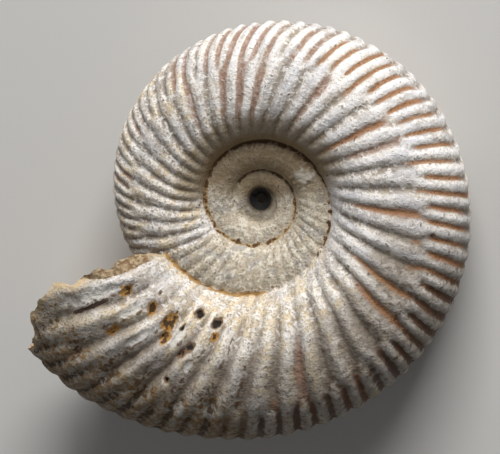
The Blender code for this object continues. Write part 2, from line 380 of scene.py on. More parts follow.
def section(growth, station):
    """Radius and half height of the section before the ribs, and its outward direction as (r, z).

    The section is two quarters of a superellipse that meet where the whorl is widest. The outer one
    ends at the venter and the inner one is cut off at the seam.
    """
    seam_radius, seam_height = seam(growth)
    cover_radius, cover_height = seam(growth + TURN)
    widest = seam_radius + WIDEST_STATION * (cover_radius - seam_radius)
    outer_reach = venter_radius(growth) - widest
    cover_share = (cover_radius - widest) / outer_reach
    half_width = cover_height / (1.0 - cover_share**OUTER_ROUNDNESS) ** (1.0 / OUTER_ROUNDNESS)
    seam_share = np.minimum(seam_height / half_width, LARGEST_SEAM_SHARE)
    inner_reach = (widest - seam_radius) / (1.0 - seam_share**INNER_ROUNDNESS) ** (1.0 / INNER_ROUNDNESS)
    cover_angle = np.arccos(cover_share ** (OUTER_ROUNDNESS / 2.0))
    seam_angle = math.pi - np.arcsin(seam_share ** (INNER_ROUNDNESS / 2.0))
    flank = np.maximum(station, 0.0) * (seam_angle - cover_angle)
    angle = cover_angle * (1.0 + np.minimum(station, 0.0)) + flank
    cosine, sine = np.cos(angle), np.sin(angle)
    is_outer = cosine > 0.0
    power = 2.0 / np.where(is_outer, OUTER_ROUNDNESS, INNER_ROUNDNESS)
    reach = np.where(is_outer, outer_reach, -inner_reach)
    radius = widest + reach * np.abs(cosine) ** power
    height = half_width * sine**power
    out_r, out_z = cosine / np.abs(reach), sine / half_width
    length = np.hypot(out_r, out_z)
    return radius, height, out_r / length, out_z / length


def rib_lean(station):
    """Growth angle by which a rib has moved forward at a station, from where it crosses mid flank."""
    return LEAN_SPAN * (UPRIGHT_STATION - station)


def broken_edge(station, side):
    """Growth angle of the broken edge of the aperture, which runs back on the lower side.

    It is made of smooth steps of the station. Three sines make it jagged, and fade out at both its ends.
    """
    at_seam = FIRST_GROWTH + rib_lean(1.0)
    outer_share = smooth_step((station + EDGE_VENTER_SPAN) / EDGE_VENTER_SPAN)
    seam_share = smooth_step((station - 1.0) / (EDGE_SEAM_SPAN if side > 0 else LOWER_SEAM_SPAN) + 1.0)
    reach = EDGE_AT_VENTER + (EDGE_AT_WIDEST - EDGE_AT_VENTER) * outer_share
    if side < 0:
        reach = reach + EDGE_BELOW * smooth_step((station + 1.0) / EDGE_BELOW_SPAN)
    reach = reach + (at_seam - reach) * seam_share
    long_wave, short_wave, tooth_wave = EDGE_JAG_WAVES
    jag = np.sin(long_wave * station + 1.0) + 0.7 * np.sin(short_wave * station)
    jag = jag + 0.25 * np.sin(tooth_wave * station)
    return reach + EDGE_JAG * jag * smooth_step(4.0 * (1.0 - station)) * smooth_step((station + 0.75) / 0.5)


def row_growth(row, station, side):
    """Growth angle of a row at a station: rows lean with the ribs, and the first ones fan to the edge."""
    leaning = FIRST_GROWTH - np.maximum(row, RUN_IN_ROWS) * ROW_STEP + rib_lean(station)
    share = np.minimum(row / RUN_IN_ROWS, 1.0)
    return leaning * share + broken_edge(station, side) * (1.0 - share)


def turned(radius, height, growth):
    """Points of the coil, from radius, height and growth angle, with the slight pull to one side."""
    angle = APERTURE_DIRECTION - growth
    x, y = radius * np.cos(angle), radius * np.sin(angle)
    pull_x, pull_y = math.cos(STRETCH_DIRECTION), math.sin(STRETCH_DIRECTION)
    pull = STRETCH * (x * pull_x + y * pull_y)
    return np.stack([x + pull * pull_x, y + pull * pull_y, height], axis=-1)


def ribs(growth, station, wander):
    """Height of the ribs from 0 in a groove to 1 on a crest, how far they have forked, groove numbers, and
    a band along the older side of each strong rib, the side away from the light, where shadow is painted.

    Each rib is a cosine of the growth angle raised to a power below 1, so that crests are broad and
    grooves are narrow. Strong ribs fade out and finer ones fade in across the fork. Near the aperture
    the strong ones are skewed: the cosine's own value is added to its angle, so their older side is steep.
    """
    upright = growth - rib_lean(station) + wander
    late = smooth_step((growth + TURN) / LATE_SPAN) * (0.5 + 0.5 * np.cos(growth))
    strong_place = upright - LATE_LEAN * late * smooth_step((LATE_STATION - station) / LATE_STATION_SPAN)
    coarsening = RIB_COARSENING * (1.0 - np.exp(strong_place / COARSENING_SPAN))
    strong_count = (strong_place + RIB_OFFSET) / RIB_SPACING + coarsening
    fine_count = (upright + FINE_RIB_OFFSET) / FINE_RIB_SPACING
    skew = SKEW * smooth_step((growth - SKEW_START) / SKEW_SPAN) * (growth < 1.0)
    strong = -np.cos(TURN * strong_count + skew * np.cos(TURN * strong_count))
    fine = -np.cos(TURN * fine_count)
    forked = smooth_step((FORK_START - station) / (FORK_START - FORK_END))
    wave = strong * (1.0 - forked) + fine * forked
    numbers = np.round(np.where(forked > 0.5, fine_count, strong_count + 300.0)).astype(int)
    older_side = window(strong_count - np.floor(strong_count), *OLDER_SIDE_SHADOW) * (1.0 - forked)
    return (0.5 + 0.5 * wave) ** CREST_BREADTH, forked, numbers, older_side


def groove_chance(numbers, seed):
    """A random value from 0 to 1 for each groove, from its number."""
    return np.random.default_rng(seed).uniform(0.0, 1.0, GROOVE_COUNT)[numbers % GROOVE_COUNT]


def pit_share(points, pits):
    """How far into the nearest pit each point is, 0 to 1, and the depth of that pit there.

    A pit is a smooth step of the distance from its middle, which is shortened along the rib for a long
    pit and roughened by noise.
    """
    share = np.zeros(points.shape[:-1])
    depth = np.zeros(points.shape[:-1])
    ragged = rough(points, PIT_RAGGEDNESS)
    for pit_growth, pit_station, radius, pit_depth, length in pits:
        at_growth = np.array(math.radians(pit_growth))
        r, z, _, _ = section(at_growth, np.array(pit_station))
        middle = turned(r, z, at_growth)
        next_growth = at_growth - PIT_LENGTHWAYS * LEAN_SPAN
        r_next, z_next, _, _ = section(next_growth, np.array(pit_station + PIT_LENGTHWAYS))
        along = turned(r_next, z_next, next_growth) - middle
        along = along / np.linalg.norm(along)
        away = points - middle
        run = away @ along
        across = np.sqrt(np.maximum((away**2).sum(axis=-1) - run**2, 0.0))
        reach = np.hypot(run / length, across) / (radius * MM)
        inside = smooth_step(PIT_EDGE - reach * PIT_SLOPE + ragged)
        share = np.maximum(share, inside)
        depth = np.maximum(depth, pit_depth * MM * inside)
    return share, depth


def streaks(growth, station):
    """Noise from 0 to 1 drawn out along the ribs: the lattice is longer along a rib than across it."""
    along = (growth - rib_lean(station)) * RIB_REACH
    total = np.zeros(growth.shape)
    for strength, breadth, length, seed in STREAK_LAYERS:
        across = station * FLANK_REACH * breadth / length
        place = np.stack([along, across, 0.0 * growth], axis=-1)
        total += strength * (0.5 + 0.5 * lattice_noise(place, breadth * MM, seed))
    return total


def spreads(degrees, station):
    """Strength of each stain: a window of the growth angle, times a ramp of the station if it has one."""
    strengths = {}
    for name, (start, end, soft, *stations) in SPREADS.items():
        across = ramp(station, *stations) if stations else 1.0
        strengths[name] = window(degrees, start, end, soft) * across
    return strengths


def groove_value(numbers, name):
    """A value for each groove that lies evenly within its range."""
    seed, lowest, extent = GROOVE_VALUES[name]
    return lowest + extent * groove_chance(numbers, seed)


def groove_has(numbers, name):
    """Whether each groove is among the share of grooves that have a stain."""
    seed, share = GROOVE_SHARES[name]
    return groove_chance(numbers, seed) > 1.0 - share


def seam_closeness(growth, share, width):
    """1 on a seam, falling as a bell curve with the distance from it, which is a share of the flank."""
    inner, _ = seam(growth)
    outer, _ = seam(growth + TURN)
    return np.exp(-((share * (outer - inner) * FLANK_CURVE / width) ** 2))


def seam_clay(degrees, stretches):
    """How much clay lies in the seam: the sum of windows of the growth angle of the whorl outside it."""
    return sum(strength * window(degrees, start, end, soft) for strength, start, end, soft in stretches)


def shell_grid(rows, stations, side, settings):
    """Points and surface fields of a grid of rows and stations, on the upper (1) or lower (-1) side.

    A point is the plain section's, moved along its outward direction by the relief: the ribs, plus lumps,
    minus a dip along each seam, with the damage cut in and the crust laid on.
    """
    row, station = np.meshgrid(rows.astype(float), stations, indexing="ij")
    growth = row_growth(row, station, side)
    degrees = np.degrees(growth)
    radius, height, out_r, out_z = section(growth, station)
    height = np.where(station <= -1.0, 0.0, height)
    at = SimpleNamespace(
        row=row,
        station=station,
        growth=growth,
        degrees=degrees,
        radius=radius,
        plain=turned(radius, height * side, growth),
        scale=np.minimum(SEAM_GROWTH ** (growth / TURN), LARGEST_SCALE),
        is_last=row < ROWS_PER_TURN,
        spread=spreads(degrees, station),
    )
    relief = rib_relief(at, settings)
    relief = relief + settings.lump_height * at.scale * rough(at.plain, LUMPS)
    relief, clay = seamed(at, relief)
    relief, marks = damaged(at, relief, side)
    points = turned(radius + relief * out_r, (height + relief * out_z) * side, growth)
    points[..., 2] = np.where(station <= -1.0, 0.0, points[..., 2])
    return points, {**groove_stains(at), **flank_stains(at), **clay, **marks}


def rib_relief(at, settings):
    """Height of the ribs over the plain section. Their grooves, numbers and the bands of their older sides,
    for painted shadow, are kept in at.

    It is the crest's height over the mean one, times the rib depth, the size of the whorl and shares that
    lower the ribs towards the centre and vary them from place to place.
    """
    late = at.spread["late_ribs"]
    wander = rough(at.plain / at.scale[..., None], COARSE_WANDER)
    wander = wander + (0.3 + 0.5 * late) * rough(at.plain, FINE_WANDER)
    crest, forked, at.numbers, at.older_side = ribs(at.growth, at.station, RIB_WANDER * wander)
    shoulder = smooth_step((SHOULDER_START - at.station) / SMOOTH_SHOULDER)
    ribbed = smooth_step(at.growth / TURN + RIBLESS_TURNS)
    ribbed = ribbed * (1.0 - OLDEST_RIB_LOSS * ramp(at.degrees, *OLDEST_RIBS))
    ribbed = ribbed * (1.0 - INNER_RIB_LOSS * (1.0 - at.is_last))
    at.groove = (1.0 - crest) * np.maximum(shoulder, forked) * ribbed
    depth = settings.rib_depth * (1.0 - forked) * shoulder + settings.fine_rib_depth * forked
    aged = 1.0 - OLD_RIB_LOSS * ramp(at.degrees, *OLD_RIBS) * (1.0 - forked)
    softer = 1.0 - SHOULDER_LOSS * at.spread["soft_shoulder"]
    vigour = 1.0 + rough(at.plain, VIGOUR)
    relief = (crest - MEAN_CREST) * depth * at.scale * ribbed * vigour * aged * softer
    return relief * (1.0 + LATE_RIB_GAIN * late * (1.0 - 2.0 * forked))


def seamed(at, relief):
    """Relief with a crumbled dip along each seam, and fields of the clay there, the dark line with painted
    shade.
    """
    inner_seam = seam_closeness(at.growth, 1.0 - at.station, SEAM_BREADTH)
    outer_seam = np.where(at.is_last, 0.0, seam_closeness(at.growth, at.station, SEAM_BREADTH))
    near_seam = np.maximum(inner_seam, outer_seam)
    outer_side = outer_seam > inner_seam
    degrees = at.degrees + 360.0 * outer_side
    share = np.where(outer_side, at.station, 1.0 - at.station)
    line = seam_closeness(at.growth, share, SEAM_LINE_BREADTH)
    relief = relief - SEAM_DEPTH * at.scale * near_seam * (1.0 + rough(at.plain, SEAM_CRUMBS))
    clay = {
        # Dark clay line along the seam, with painted shade
        "seam_dark": line * seam_clay(degrees, DARK_CLAY_AND_SHADE),
        "seam_ochre": near_seam * seam_clay(degrees, OCHRE_CLAY),
    }
    return relief, clay


def damaged(at, relief, side):
    """Relief with damage cut into the upper side and a crust at the broken edge, and their fields."""
    pit, ochre, bare, edge, pale = np.zeros((5,) + at.growth.shape)
    if side > 0:
        pit, pit_depth = pit_share(at.plain, DARK_PITS)
        ochre, ochre_depth = pit_share(at.plain, OCHRE_PITS)
        pale, pale_depth = pit_share(at.plain, PALE_TROUGHS)
        lump, lump_height = pit_share(at.plain, CALCITE_LUMPS)
        edge, _ = pit_share(at.plain, SERRATED_EDGES)
        bare = np.maximum(pale, LUMP_PALENESS * lump)
        relief = relief * (1.0 - PALE_SMOOTHNESS * pale) + lump_height
        pale_depth = pale_depth * smooth_step(at.row / THIN_WALL_ROWS)
        relief = relief - np.maximum(np.maximum(pit_depth, ochre_depth), pale_depth)
    crust = smooth_step(1.0 - at.row * math.degrees(ROW_STEP) / CRUST_REACH)
    crust = crust * (at.degrees > CRUST_END) * (1.0 - pale)
    relief = relief + CRUST_HEIGHT * crust * rough(at.plain, CRUST_LUMPS)
    return relief, {"pit": pit, "ochre": ochre, "bare": bare, "edge": edge, "crust": crust}


def groove_stains(at):
    """Fields of what colours the grooves: iron in thin lines, rust, soot, and painted shadow on older rib
    sides.

    Each is the strength of the stain there times a window of the station and a ramp of the groove's depth.
    """
    groove, spread, numbers = at.groove, at.spread, at.numbers
    lined = spread["iron_lines"] * groove_value(numbers, "line_strength")
    extra = EXTRA_LINE_STRENGTH * groove_has(numbers, "extra_line") * (at.degrees > EXTRA_LINE_END)
    finish, begin = groove_value(numbers, "line_finish"), groove_value(numbers, "line_begin")
    line = np.maximum(lined, extra) * window(at.station, finish, begin, LINE_SOFTNESS)
    inner_end = groove_value(numbers, "inner_line_end")
    inner_line = window(at.station, INNER_LINE_START, inner_end, INNER_LINE_SOFTNESS) * spread["iron_lines"]
    inner_line = INNER_LINE_STRENGTH * inner_line * groove_has(numbers, "inner_line")
    faint = FAINT_STRENGTH * groove_has(numbers, "faint_rust") * spread["faint_rust"]
    rust = np.maximum(spread["top_rust"], faint) * window(at.station, *RUST_STATIONS)
    soot = spread["soot"] * groove_value(numbers, "soot_strength")
    return {
        "groove": groove,
        "iron": np.maximum(line, inner_line) * ramp(groove, *IRON_IN_GROOVE) * at.is_last,
        "rust": rust * ramp(groove, *RUST_IN_GROOVE) * at.is_last,
        "soot": soot * ramp(groove, *SOOT_IN_GROOVE),
        # Painted shadow, in brown crumbs, on the older side of each strong rib
        "lip": at.older_side * spread["lip"] * window(at.station, *RIB_SHADOW_STATIONS),
    }


def flank_stains(at):
    """Fields of what colours the flanks: warm and cool calcite, dust, dirt, the stain of the centre, and
    painted shade.

    Each is the strength of the stain or painted shade there, for some mixed with the grooves' depth or with
    streaks.
    """
    groove, spread = at.groove, at.spread
    x, y = at.plain[..., 0], at.plain[..., 1]
    # The upper side, where the walls round the centre face away from the light: painted shade goes there
    high = ramp(y / np.hypot(x, y), *HIGH_SIDE)
    streak = streaks(at.growth, at.station)
    is_inner = 1.0 - at.is_last
    cool = spread["cool"] * at.is_last
    fringe = ramp(at.station, *FRINGE_STATIONS) * ramp(streak, *FRINGE_STREAKS)
    return {
        "streak": streak,
        "warm": 1.0 - 0.30 * cool + 0.35 * spread["cream"],
        "cool": cool * (1.0 - groove),
        "grit": 1.0 - 0.40 * cool + 0.60 * cool * groove,
        # Brown stain and painted shade on the upper inner flank
        "stained": spread["stained"],
        # Dust with painted shade, a little more in the grooves
        "dust": spread["dust"] * (0.8 + 0.4 * groove),
        "dirt": spread["dirt"],
        "soil": spread["dirt"] * ramp(0.75 * (streak + groove), *SOIL_RANGE),
        "grime": 0.22 * spread["grime"] + 0.15 * is_inner + 0.6 * spread["dirt"],
        "young": ramp(at.row, ROWS_PER_TURN, ROWS_PER_TURN + YOUNG_ROWS),
        # Umber stain and painted shade on the upper side of the inner whorls and of the last whorl's inner
        # wall
        "umber": np.maximum(is_inner, ramp(at.station, *UMBER_SHADE_STATIONS)) * high,
        # Dark brown crumbs along the outer edge of the inner whorls, with painted shade: only on the upper
        # side, under the wall of the whorl outside
        "fringe": is_inner * fringe * ramp(at.degrees, *FRINGE_START) * high,
        "collar": ramp(np.hypot(x, y + COLLAR_SHIFT), *COLLAR_RANGE),
        # Painted shade: darkening into the hole
        "hole": ramp(at.radius, *HOLE_SHADE_RANGE),
    }


class Skin:
    """Collects grids of points and the triangles between them, and then welds points that coincide."""

    def __init__(self):
        self.points = []
        self.fields = []
        self.triangles = []
        self.stone = []
        self.count = 0

    def add(self, points, fields):
        """Adds a grid of points and returns their indices."""
        self.points.append(points.reshape(-1, 3))
        self.fields.append({name: values.reshape(-1) for name, values in fields.items()})
        index = np.arange(self.count, self.count + points[..., 0].size).reshape(points.shape[:-1])
        self.count += index.size
        return index

    def fill(self, index, side, stone=False):
        """Two triangles for each cell of a grid of indices, turned round on the lower side."""
        a, b = index[:-1, :-1].ravel(), index[1:, :-1].ravel()
        c, d = index[1:, 1:].ravel(), index[:-1, 1:].ravel()
        self.keep(np.concatenate([np.stack([a, b, c], 1), np.stack([a, c, d], 1)]), side, stone)

    def bridge(self, first, second, side, stone=False):
        """Triangles between two lines of points that may differ in number.

        Each segment of a line is joined to the point that the other line has reached by then.
        """
        first_end = np.linspace(0.0, 1.0, len(first))[1:]
        second_end = np.linspace(0.0, 1.0, len(second))[1:]
        opposite = np.searchsorted(second_end, first_end - 1e-9)
        ahead = np.searchsorted(first_end, second_end + 1e-9)
        near = np.stack([first[:-1], second[opposite], first[1:]], 1)
        far = np.stack([first[ahead], second[:-1], second[1:]], 1)
        self.keep(np.concatenate([near, far]), side, stone)

    def keep(self, triangles, side, stone):
        """Stores triangles."""
        self.triangles.append(triangles if side > 0 else triangles[:, ::-1])
        self.stone.append(np.full(len(triangles), stone))

    def welded(self):
        """Points, fields, triangles and stone flags, with coinciding points made one."""
        points = np.concatenate(self.points)
        key = np.round(points / WELD_STEP).astype(np.int64)
        _, first, index = np.unique(key, axis=0, return_index=True, return_inverse=True)
        triangles = index.reshape(-1)[np.concatenate(self.triangles)]
        stone = np.concatenate(self.stone)
        a, b, c = triangles.T
        whole = (a != b) & (b != c) & (c != a)
        fields = {}
        for name in self.fields[0]:
            fields[name] = np.concatenate([part[name] for part in self.fields])[first]
        return points[first], fields, triangles[whole], stone[whole]


def flank_stations(steps):
    """Stations from 1 to 0, closer together near both seams."""
    share = np.linspace(0.0, 1.0, steps + 1)
    return 1.0 - (share - SEAM_CROWDING * np.sin(TURN * share))


def add_side(skin, side, settings):
    """One side of the spiral ribbon, whorl by whorl, and its filling. Returns the line round the hole."""
    seam_rows = np.arange(ROWS_PER_TURN, ROW_COUNT)
    seam_points, _ = shell_grid(seam_rows, np.array([0.0]), side, settings)
    seam_points = seam_points[:, 0]
    previous = None
    rims = []
    for whorl, steps in enumerate(FLANK_STEPS[side]):
        start = whorl * ROWS_PER_TURN + (whorl > 0)
        rows = np.arange(start, min((whorl + 1) * ROWS_PER_TURN, ROW_COUNT - 1) + 1)
        stations = flank_stations(steps)
        if whorl == 0:
            stations = np.concatenate([stations, np.linspace(0.0, -1.0, VENTER_STEPS[side] + 1)[1:]])
        points, fields = shell_grid(rows, stations, side, settings)
        inside = rows + ROWS_PER_TURN < ROW_COUNT
        points[inside, 0] = seam_points[rows[inside]]
        if whorl > 0:
            points[:, steps] = seam_points[rows - ROWS_PER_TURN]
        else:
            points[-1, steps] = seam_points[0]
        index = skin.add(points, fields)
        skin.fill(index, side)
        if previous is not None:
            skin.bridge(previous, index[0], side)
        previous = index[-1, : steps + 1]
        rims.append(index[rows >= ROW_COUNT - 1 - ROWS_PER_TURN, 0])
        if whorl == 0:
            edge, edge_points = index[0], points[0]
            venter, venter_points = index[-1, steps:], points[-1, steps:]
    add_filling(skin, side, edge, edge_points, venter, venter_points)
    return np.concatenate(rims + [previous[1:]])


def resampled(line, count):
    """Points at equal shares of the way along a line of points."""
    old = np.linspace(0.0, 1.0, len(line))
    new = np.linspace(0.0, 1.0, count)
    return np.stack([np.interp(new, old, line[:, axis]) for axis in range(3)], axis=-1)


def add_filling(skin, side, edge, edge_points, venter, venter_points):
    """Rough hollow stone face between the broken edge and the venter of the whorl inside.

    Rings lead straight from the venter to the edge. Each is pushed into the whorl by a power of a sine of
    the way across, which is steep at both ends, and by noise that fades out there.
    """
    near = resampled(venter_points, len(edge_points))
    across = np.linspace(0.0, 1.0, FILLING_RINGS + 2)[1:-1, None, None]
    along = np.linspace(0.0, 1.0, len(edge_points))[None, :, None]
    points = near[None] * (1.0 - across) + edge_points[None] * across
    inward = np.array([-math.sin(APERTURE_DIRECTION), math.cos(APERTURE_DIRECTION), 0.0])
    lumps = rough(points, FILLING_LUMPS) * MM
    hollow = FILLING_HOLLOW * np.sin(math.pi * across) ** FILLING_BULGE * smooth_step(along * 2.0)
    fade = smooth_step(along * 12.0) * np.minimum(np.sin(math.pi * across) * 2.5, 1.0)
    points = points + inward * (hollow + lumps[..., None] * fade)
    points[:, 0] = edge_points[0]
    points[:, -1, 2] = 0.0
    empty = np.zeros(points.shape[:-1])
    index = skin.add(points, {name: empty for name in skin.fields[0]})
    skin.bridge(venter, index[0], side, stone=True)
    skin.fill(index, side, stone=True)
    skin.fill(np.stack([index[-1], edge]), side, stone=True)


def add_hole_wall(skin, upper, lower):
    """Wall of the hole in the middle, from rim above to rim below, with a waist of lodged clay and painted
    black shade.
    """
    points = np.concatenate(skin.points)
    top, bottom = points[upper], points[lower]
    share = np.linspace(0.0, 1.0, HOLE_STEPS + 1)[:, None, None]
    wall = top[None] * (1.0 - share) + bottom[None] * share
    wall[..., :2] *= 1.0 - HOLE_WAIST * np.sin(math.pi * share) ** 2
    wall[0], wall[-1] = top, bottom
    empty = np.zeros(wall.shape[:-1])
    # The hole's wall is painted near black, as shade
    fields = {name: empty + (name in ("young", "hole")) for name in skin.fields[0]}
    skin.fill(skin.add(wall, fields).T, -1)


def tipped(angle, direction):
    """Rotation that tips the plane of the coil down by an angle towards a direction in that plane."""
    line = Vector((-math.sin(direction), math.cos(direction), 0.0))
    return Matrix.Rotation(angle, 3, line)


def laid_down(points):
    """Points moved from the coil's own frame to the ground, and worn flat where they would go below it."""
    lean = np.array(tipped(REST_LEAN, REST_LEAN_DIRECTION))
    placed = points @ lean.T + np.array(COIL_CENTRE)
    placed[:, 2] = np.maximum(placed[:, 2], 0.0)
    return placed


def linear(code):
    """Linear colour with alpha from an sRGB hex code: the sRGB curve undone for each channel."""
    channels = [int(code[start : start + 2], 16) / 255.0 for start in (1, 3, 5)]
    return [c / 12.92 if c <= 0.04045 else ((c + 0.055) / 1.055) ** 2.4 for c in channels] + [1.0]


def add(tree, kind, inputs=None, **settings):
    """Adds a node with its settings. Each input is a value, or another node's output to link from."""
    node = tree.nodes.new(kind)
    for name, value in settings.items():
        setattr(node, name, value)
    for name, value in (inputs or {}).items():
        if isinstance(value, bpy.types.NodeSocket):
            tree.links.new(value, node.inputs[name])
        else:
            node.inputs[name].default_value = value
    return node


# Noises of the calcite: grain size in millimetres, detail and distortion. Real grains of 0.02 to 0.05 mm
# are no coarser than a pixel of the picture, so the finest noise is drawn at 0.11 mm to show.
NOISES = {
    "grain": (0.11, 3.0, 0.5),
    "crumb": (0.30, 3.0, 0.4),
    "patch": (1.0, 3.0, 0.5),
    "cloud": (2.6, 2.0, 0.3),
}

# Size of the grains of stone and height of the bump on both, in millimetres
STONE_GRAIN = 0.2
CALCITE_BUMP = 0.05
STONE_BUMP = 0.1

# Sockets of a Mix node that mixes colours
COLOUR_BELOW = 6
COLOUR_ABOVE = 7
COLOUR_OUT = 2

# Layers of colour from the bottom up: field or None, its weight, noise, the noise's weight, low and high
# threshold, opacity, and sRGB colour
LAYERS = (
    ("warm", 0.25, "patch", 1.0, 0.69, 0.83, 0.66, "#d9c196"),
    (None, 0.0, "cloud", 1.0, 0.46, 0.62, 0.60, "#b6b5b9"),
    ("cool", 1.0, "patch", 0.8, 0.70, 1.50, 0.55, "#e4e4ea"),
    ("streak", 1.0, "crumb", 0.7, 0.78, 1.08, 0.60, "#9a9087"),
    # Painted shade: grey-brown in the grooves, deepest at their bottoms
    ("groove", 1.0, "patch", 0.6, 0.58, 1.18, 0.78, "#85796e"),
    (None, 0.0, "crumb", 1.0, 0.49, 0.60, 0.62, "#f8f5f0"),
    # Brown stain and painted shade: a smooth brown over the inner flank of the upper half, which faces away
    # from the light
    ("stained", 1.0, "patch", 0.5, 0.50, 1.20, 0.76, "#857456"),
    ("young", 1.0, "patch", 0.4, 0.60, 1.20, 0.72, "#b3a58b"),
    ("young", 0.5, "patch", 1.0, 1.00, 1.10, 0.60, "#a09f9f"),
    ("young", 0.5, "crumb", 1.0, 0.99, 1.10, 0.72, "#e4dccb"),
    # Umber stain and painted shade: brown over the upper side of the inner whorls and of the last whorl's
    # inner wall
    ("umber", 1.0, "patch", 0.6, 0.45, 1.25, 0.72, "#80683f"),
    ("grit", 0.20, "grain", 1.0, 0.70, 0.82, 0.50, "#7f7059"),
    # Dust and painted shade: a grey-brown wash darkens the lower outer flank, which turns away from the
    # light, and dark crumbs of dust lie over it
    ("dust", 1.0, "patch", 0.8, 0.55, 1.35, 0.56, "#83786a"),
    ("dust", 0.8, "crumb", 2.0, 1.52, 2.02, 0.70, "#655747"),
    ("seam_ochre", 1.0, "crumb", 0.8, 0.60, 1.25, 0.40, "#b08f5c"),
    # Dark brown crumbs with painted shade along the outer edge of the inner whorls, on the upper side,
    # under the wall of the whorl outside
    ("fringe", 1.0, "crumb", 1.0, 0.95, 1.35, 0.65, "#72563a"),
    ("grime", 0.30, "grain", 1.0, 0.68, 0.80, 0.65, "#54483a"),
    ("rust", 1.0, "patch", 0.6, 0.55, 1.15, 0.66, "#96705c"),
    ("iron", 1.0, "crumb", 0.6, 0.50, 0.98, 0.88, "#9c6e47"),
    ("iron", 0.6, "grain", 1.6, 1.28, 1.52, 0.60, "#553a26"),
    ("soot", 1.0, "crumb", 1.2, 0.90, 1.35, 0.82, "#553b2a"),
    ("dirt", 1.0, "patch", 0.8, 0.75, 1.40, 0.50, "#8a7e6a"),
    ("dirt", 0.5, "patch", 1.0, 1.02, 1.14, 0.50, "#c6c3be"),
    ("dirt", 0.7, "crumb", 1.8, 1.50, 1.70, 0.66, "#86632d"),
    ("soil", 1.0, "crumb", 1.6, 1.62, 1.90, 0.80, "#392b1e"),
    # Painted shadow: dark brown crumbs along the older side of each strong rib near the aperture, the side
    # away from the light
    ("lip", 1.0, "crumb", 2.2, 1.86, 2.26, 0.85, "#5d442d"),
    ("bare", 1.0, "patch", 0.4, 0.45, 1.00, 0.80, "#ddd9d1"),
    ("crust", 1.0, "crumb", 1.0, 0.90, 1.30, 0.80, "#c2a983"),
    ("crust", 0.5, "crumb", 1.5, 1.32, 1.44, 0.62, "#64492e"),
    ("edge", 1.0, "crumb", 1.0, 0.70, 1.05, 0.90, "#452e21"),
    ("seam_ochre", 1.0, "crumb", 2.2, 1.58, 1.88, 0.85, "#9d7431"),
    # Dark clay with painted shade along the seams, strongest at the top, where the whorl outside shades
    # them
    ("seam_dark", 1.0, "crumb", 2.6, 1.70, 2.05, 0.90, "#452d15"),
    ("ochre", 1.0, "crumb", 0.7, 0.50, 0.90, 0.90, "#a97a30"),
    ("ochre", 0.6, "crumb", 1.8, 1.35, 1.50, 0.90, "#33230f"),
    ("pit", 1.0, "crumb", 0.8, 0.45, 0.80, 0.85, "#6d4d2e"),
    ("pit", 1.0, "crumb", 0.6, 0.85, 1.15, 1.00, "#1e150f"),
    ("collar", 1.0, "crumb", 0.3, 0.45, 1.15, 0.60, "#6b5f4c"),
    # Painted shade into the hole: brown near its rim, near black on its wall
    ("hole", 1.0, "grain", 0.2, 0.25, 1.05, 0.85, "#43331f"),
    ("hole", 1.0, "grain", 0.1, 0.96, 1.02, 1.00, "#0b0806"),
)


def calcite_material(settings):
    """Calcite of a fossil shell, weathered in the ground and brushed clean of its rock.

    Weathering leaves it chalky, so the eye sees no highlight, only cream and white crumbs on the crests
    and grey shade painted in the grooves, with iron, clay and dust where brushes don't reach. Shade is also
    painted low on the outer flank, on the upper side round the centre, along the seams at the top, on the
    older side of the ribs near the aperture and into the hole. The roughness is high and the index of
    refraction stays at 1.5, near calcite's. Each layer covers the ones below it where its field and its
    noise together pass a threshold.
    """
    material = bpy.data.materials.new("weathered_calcite")
    material.use_nodes = True
    tree = material.node_tree
    shader = tree.nodes["Principled BSDF"]
    shader.inputs["Roughness"].default_value = 0.85
    place = add(tree, "ShaderNodeTexCoord").outputs["Object"]
    noises = {}
    for name, (size, detail, distortion) in NOISES.items():
        inputs = {"Vector": place, "Scale": 1.0 / (size * MM), "Detail": detail, "Distortion": distortion}
        noises[name] = add(tree, "ShaderNodeTexNoise", inputs).outputs["Fac"]
    fields = {}
    for name in sorted({layer[0] for layer in LAYERS if layer[0]}):
        fields[name] = add(tree, "ShaderNodeAttribute", attribute_name=name).outputs["Fac"]
    colour = tuple(settings.crest_colour) + (1.0,)
    for field, weight, noise, noise_weight, low, high, opacity, code in LAYERS:
        amount = add(tree, "ShaderNodeMath", {0: noises[noise], 1: noise_weight}, operation="MULTIPLY")
        if field:
            weighed = {0: fields[field], 1: weight, 2: amount.outputs[0]}
            amount = add(tree, "ShaderNodeMath", weighed, operation="MULTIPLY_ADD")
        limits = {"Value": amount.outputs[0], "From Min": low, "From Max": high, "To Max": opacity}
        mask = add(tree, "ShaderNodeMapRange", limits, interpolation_type="SMOOTHSTEP")
        inputs = {"Factor": mask.outputs[0], COLOUR_BELOW: colour, COLOUR_ABOVE: linear(code)}
        colour = add(tree, "ShaderNodeMix", inputs, data_type="RGBA").outputs[COLOUR_OUT]
    tree.links.new(colour, shader.inputs["Base Color"])
    crumbs = {0: noises["crumb"], 1: 1.5, 2: noises["grain"]}
    height = add(tree, "ShaderNodeMath", crumbs, operation="MULTIPLY_ADD")
    bump = {"Height": height.outputs[0], "Strength": 1.0, "Distance": CALCITE_BUMP * MM}
    tree.links.new(add(tree, "ShaderNodeBump", bump).outputs["Normal"], shader.inputs["Normal"])
    return material


